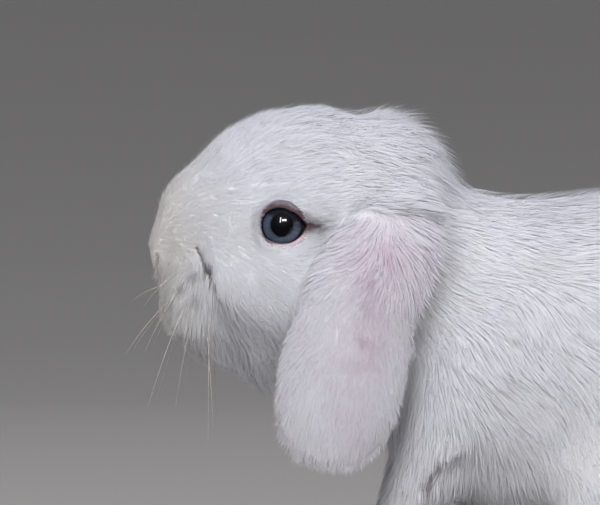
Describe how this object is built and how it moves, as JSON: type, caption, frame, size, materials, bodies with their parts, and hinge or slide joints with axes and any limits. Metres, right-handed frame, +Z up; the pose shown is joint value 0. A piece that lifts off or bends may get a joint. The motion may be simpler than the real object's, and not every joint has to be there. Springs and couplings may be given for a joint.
{
  "type": "lop rabbit",
  "caption": "White young lop-eared rabbit with blue eyes, crouched on all fours with its nose stretched forward, as a still life-size model.",
  "frame": {"origin": "on the floor under the middle of the bounding box", "axes": "+Z up; the rabbit faces -Y and its left side is +X"},
  "size_m": [0.0974, 0.2163, 0.1421],
  "materials": {
    "coat": "soft plush white fur",
    "ear_coat": "short fine white fur over pinkish skin",
    "eye": "wet gloss"
  },
  "bodies": {
    "root": {"ear_left": "ear_coat", "ear_right": "ear_coat", "eye_left": "eye", "eye_right": "eye", "foreleg_left": "coat", "foreleg_right": "coat", "forepaw_left": "coat", "forepaw_right": "coat", "head": "coat", "hindfoot_left": "coat", "hindfoot_right": "coat", "neck": "coat", "tail": "coat", "thigh_left": "coat", "thigh_right": "coat", "trunk": "coat"}
  },
  "joints": []
}
